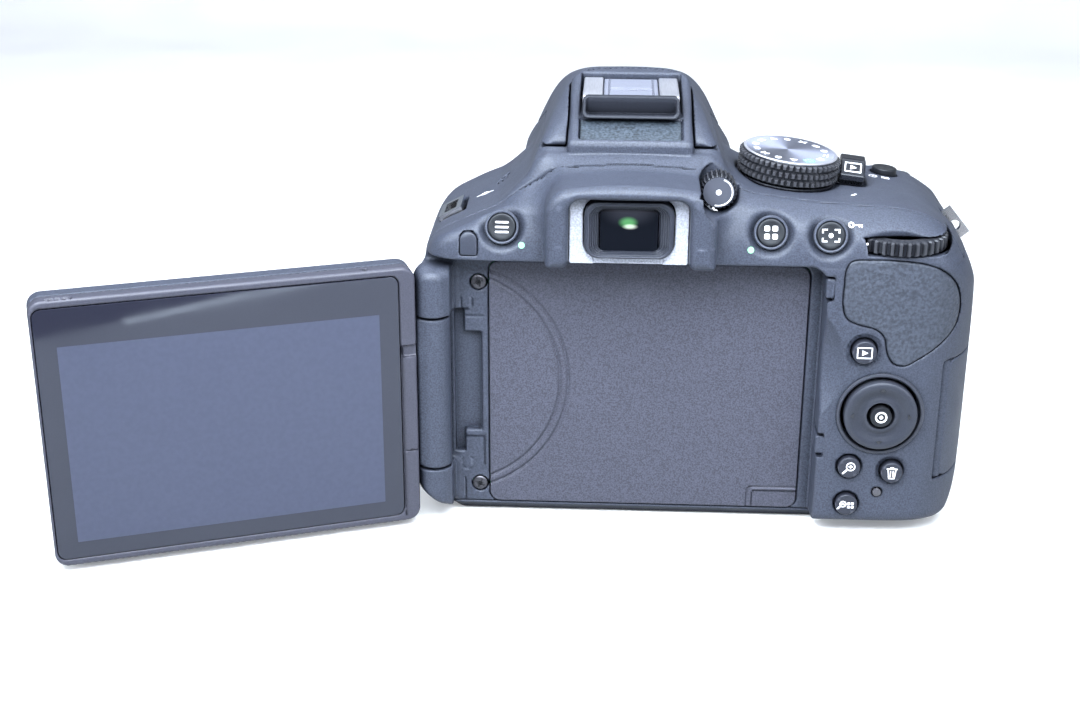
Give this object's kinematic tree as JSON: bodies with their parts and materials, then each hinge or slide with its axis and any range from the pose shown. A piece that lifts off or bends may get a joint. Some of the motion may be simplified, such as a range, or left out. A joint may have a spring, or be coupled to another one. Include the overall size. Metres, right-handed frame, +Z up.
{
  "type": "digital single-lens reflex camera body",
  "caption": "Interchangeable-lens reflex camera body with swivelling side-hinged monitor, pop-up flash, turning dials, pressing keys, doors and a moving mirror.",
  "frame": {"origin": "mouth of the tripod socket on the flat base, below the optical axis", "axes": "+Z up; +Y towards the subject, out of the lens mount; +X towards the grip, the viewer's right"},
  "size_m": [0.2039, 0.096, 0.098],
  "materials": {
    "body_plastic": "fine sandblast-textured dark grey polycarbonate",
    "grip_leatherette": "pebbled black elastomer",
    "soft_black": "smooth matte black elastomer",
    "recess_texture": "mid grey stippled panel",
    "speckled_grey": "light grey speckled plate",
    "button_black": "satin black key with white pictogram",
    "dial_black": "black knurled plastic",
    "dial_top": "brushed silver-lilac disc with white marks",
    "bright_metal": "bare bright steel",
    "mount_metal": "machined satin steel",
    "screw_black": "black oxide screws with crossed recess",
    "gold_contact": "gold plated pins in black block",
    "inner_black": "flocked matte black",
    "mirror_silver": "front-silvered mirror",
    "screen_glass": "ground focusing screen",
    "eye_glass": "coated eyepiece glass",
    "display_glass": "glossy cover glass",
    "display_panel": "unlit display, slate blue",
    "sensor_green": "coated imaging chip in ceramic package",
    "board_green": "solder-masked circuit board",
    "battery_grey": "battery pack casing",
    "lamp": "clear lamp window",
    "flash_lens": "ribbed clear flash window",
    "rec_red": "red record key"
  },
  "bodies": {
    "body": {"rear_cover": "body_plastic", "front_cover": "body_plastic", "top_cover": "body_plastic", "bottom_cover": "body_plastic", "grip_rubber": "grip_leatherette", "thumb_rest": "grip_leatherette", "recess_panel": "recess_texture", "eyepiece_plate": "speckled_grey", "eyepiece_frame": "soft_black", "eyepiece_lens": "eye_glass", "hot_shoe": "bright_metal", "lens_mount": "mount_metal", "mount_contacts": "gold_contact", "screws": "screw_black", "strap_lugs": "bright_metal", "tripod_socket": "mount_metal", "mirror_box": "inner_black", "focusing_screen": "screen_glass", "pentamirror": "inner_black", "shutter_unit": "inner_black", "image_sensor": "sensor_green", "main_board": "board_green", "battery": "battery_grey", "lamp_windows": "lamp"},
    "monitor_arm": {"hinge_barrel": "body_plastic"},
    "monitor": {"monitor_bezel": "body_plastic", "monitor_back": "body_plastic", "monitor_glass": "display_glass", "lcd_panel": "display_panel"},
    "mode_dial_body": {"mode_dial": "dial_top"},
    "live_view_body": {"live_view_lever": "button_black"},
    "command_dial_body": {"command_dial": "dial_black"},
    "shutter_release": {"shutter_button": "dial_top"},
    "power_ring": {"power_switch": "button_black"},
    "info_key": {"info_button": "button_black"},
    "exposure_key": {"exposure_button": "button_black"},
    "movie_key": {"movie_button": "rec_red"},
    "menu_key": {"menu_button": "button_black"},
    "quick_menu_key": {"quick_menu_button": "button_black"},
    "ae_lock_key": {"ae_lock_button": "button_black"},
    "play_key": {"play_button": "button_black"},
    "zoom_in_key": {"zoom_in_button": "button_black"},
    "zoom_out_key": {"zoom_out_button": "button_black"},
    "delete_key": {"delete_button": "button_black"},
    "gimbal": {"selector_gimbal": "inner_black"},
    "selector": {"multi_selector": "dial_black"},
    "ok_key": {"ok_button": "button_black"},
    "diopter": {"diopter_dial": "dial_black"},
    "lens_release": {"lens_release_button": "button_black"},
    "flash_key": {"flash_button": "button_black"},
    "function_key": {"function_button": "button_black"},
    "flash": {"flash_head": "body_plastic", "flash_window": "flash_lens"},
    "shoe_slider": {"shoe_cover": "dial_black"},
    "card_lid": {"card_door": "body_plastic"},
    "battery_lid": {"battery_door": "body_plastic"},
    "latch": {"battery_latch": "dial_black"},
    "terminal_lid": {"terminal_cover": "soft_black"},
    "mirror": {"main_mirror": "mirror_silver"},
    "rear_mirror": {"sub_mirror": "mirror_silver"}
  },
  "joints": [
    {"name": "monitor_swing", "type": "hinge", "parent": "body", "child": "monitor_arm", "pos_m": [-0.0428, -0.0259, 0.032], "axis": [0, 0, 1], "range_deg": [-20, 160]},
    {"name": "monitor_tilt", "type": "hinge", "parent": "monitor_arm", "child": "monitor", "pos_m": [-0.04311, -0.02505, 0.032], "axis": [-0.9397, -0.342, 0], "range_deg": [-90, 180]},
    {"name": "mode_dial_turn", "type": "hinge", "parent": "body", "child": "mode_dial_body", "pos_m": [0.0352, -0.005, 0.0768], "axis": [0.1045, -0.0349, 0.9939], "continuous": true},
    {"name": "live_view_turn", "type": "hinge", "parent": "body", "child": "live_view_body", "pos_m": [0.0352, -0.005, 0.0768], "axis": [0.1045, -0.0349, 0.9939], "range_deg": [0, 15], "stiffness_Nm_per_rad": 0.02},
    {"name": "command_dial_turn", "type": "hinge", "parent": "body", "child": "command_dial_body", "pos_m": [0.0585, -0.021, 0.0686], "axis": [0, 0, 1], "continuous": true},
    {"name": "shutter_press", "type": "slide", "parent": "body", "child": "shutter_release", "axis": [0, -0.4067, -0.9135], "range_m": [0, 0.0012], "stiffness_N_per_m": 300},
    {"name": "power_turn", "type": "hinge", "parent": "body", "child": "power_ring", "pos_m": [0.0605, 0.025, 0.0677], "axis": [0, 0.4067, 0.9135], "range_deg": [0, 30]},
    {"name": "info_press", "type": "slide", "parent": "body", "child": "info_key", "axis": [-0.1045, 0, -0.9945], "range_m": [0, 0.0005], "stiffness_N_per_m": 300},
    {"name": "exposure_press", "type": "slide", "parent": "body", "child": "exposure_key", "axis": [0, -0.4384, -0.8988], "range_m": [0, 0.0005], "stiffness_N_per_m": 300},
    {"name": "movie_press", "type": "slide", "parent": "body", "child": "movie_key", "axis": [0, -0.5, -0.866], "range_m": [0, 0.0005], "stiffness_N_per_m": 300},
    {"name": "menu_press", "type": "slide", "parent": "body", "child": "menu_key", "axis": [0, 0.9438, -0.3305], "range_m": [0, 0.0005], "stiffness_N_per_m": 300},
    {"name": "quick_menu_press", "type": "slide", "parent": "body", "child": "quick_menu_key", "axis": [0, 0.9438, -0.3305], "range_m": [0, 0.0005], "stiffness_N_per_m": 300},
    {"name": "ae_lock_press", "type": "slide", "parent": "body", "child": "ae_lock_key", "axis": [0, 0.9438, -0.3305], "range_m": [0, 0.0005], "stiffness_N_per_m": 300},
    {"name": "play_press", "type": "slide", "parent": "body", "child": "play_key", "axis": [0, 1, 0], "range_m": [0, 0.0005], "stiffness_N_per_m": 300},
    {"name": "zoom_in_press", "type": "slide", "parent": "body", "child": "zoom_in_key", "axis": [0, 1, 0], "range_m": [0, 0.0005], "stiffness_N_per_m": 300},
    {"name": "zoom_out_press", "type": "slide", "parent": "body", "child": "zoom_out_key", "axis": [0, 1, 0], "range_m": [0, 0.0005], "stiffness_N_per_m": 300},
    {"name": "delete_press", "type": "slide", "parent": "body", "child": "delete_key", "axis": [0, 1, 0], "range_m": [0, 0.0005], "stiffness_N_per_m": 300},
    {"name": "selector_rock_up_down", "type": "hinge", "parent": "body", "child": "gimbal", "pos_m": [0.0563, -0.0286, 0.0305], "axis": [1, 0, 0], "range_deg": [-3.5, 3.5], "stiffness_Nm_per_rad": 0.05},
    {"name": "selector_rock_left_right", "type": "hinge", "parent": "gimbal", "child": "selector", "pos_m": [0.0563, -0.0286, 0.0305], "axis": [0, 0, 1], "range_deg": [-3.5, 3.5], "stiffness_Nm_per_rad": 0.05},
    {"name": "ok_press", "type": "slide", "parent": "body", "child": "ok_key", "axis": [0, 1, 0], "range_m": [0, 0.0006], "stiffness_N_per_m": 300},
    {"name": "diopter_turn", "type": "hinge", "parent": "body", "child": "diopter", "pos_m": [0.0189, -0.024, 0.0794], "axis": [0, 1, 0], "range_deg": [-135, 135]},
    {"name": "lens_release_press", "type": "slide", "parent": "body", "child": "lens_release", "axis": [0, -1, 0], "range_m": [0, 0.0016], "stiffness_N_per_m": 300},
    {"name": "flash_button_press", "type": "slide", "parent": "body", "child": "flash_key", "axis": [0, -1, 0], "range_m": [0, 0.0006], "stiffness_N_per_m": 300},
    {"name": "function_press", "type": "slide", "parent": "body", "child": "function_key", "axis": [0, -1, 0], "range_m": [0, 0.0005], "stiffness_N_per_m": 300},
    {"name": "flash_raise", "type": "hinge", "parent": "body", "child": "flash", "pos_m": [0, -0.0142, 0.087], "axis": [1, 0, 0], "range_deg": [0, 70]},
    {"name": "shoe_cover_slide", "type": "slide", "parent": "body", "child": "shoe_slider", "axis": [0, -1, 0], "range_m": [0, 0.02]},
    {"name": "card_door_swing", "type": "hinge", "parent": "body", "child": "card_lid", "pos_m": [0.06994, -0.02516, 0.0278], "axis": [0, 0, 1], "range_deg": [-88, 0]},
    {"name": "battery_door_swing", "type": "hinge", "parent": "body", "child": "battery_lid", "pos_m": [0.051, 0.009, 0.0012], "axis": [0, 1, 0], "range_deg": [0, 90]},
    {"name": "battery_latch_slide", "type": "slide", "parent": "battery_lid", "child": "latch", "axis": [-1, 0, 0], "range_m": [0, 0.0028], "stiffness_N_per_m": 100},
    {"name": "terminal_cover_swing", "type": "hinge", "parent": "body", "child": "terminal_lid", "pos_m": [-0.0447, 0.0086, 0.037], "axis": [0, 0, 1], "range_deg": [-110, 0]},
    {"name": "mirror_swing", "type": "hinge", "parent": "body", "child": "mirror", "pos_m": [0, -0.0009, 0.0528], "axis": [1, 0, 0], "range_deg": [0, 45]},
    {"name": "sub_mirror_fold", "type": "hinge", "parent": "mirror", "child": "rear_mirror", "pos_m": [0, 0.00766, 0.04156], "axis": [1, 0, 0], "range_deg": [0, 90]}
  ],
  "couplings": [
    {"joint": "sub_mirror_fold", "follows": "mirror_swing", "ratio": 2}
  ]
}
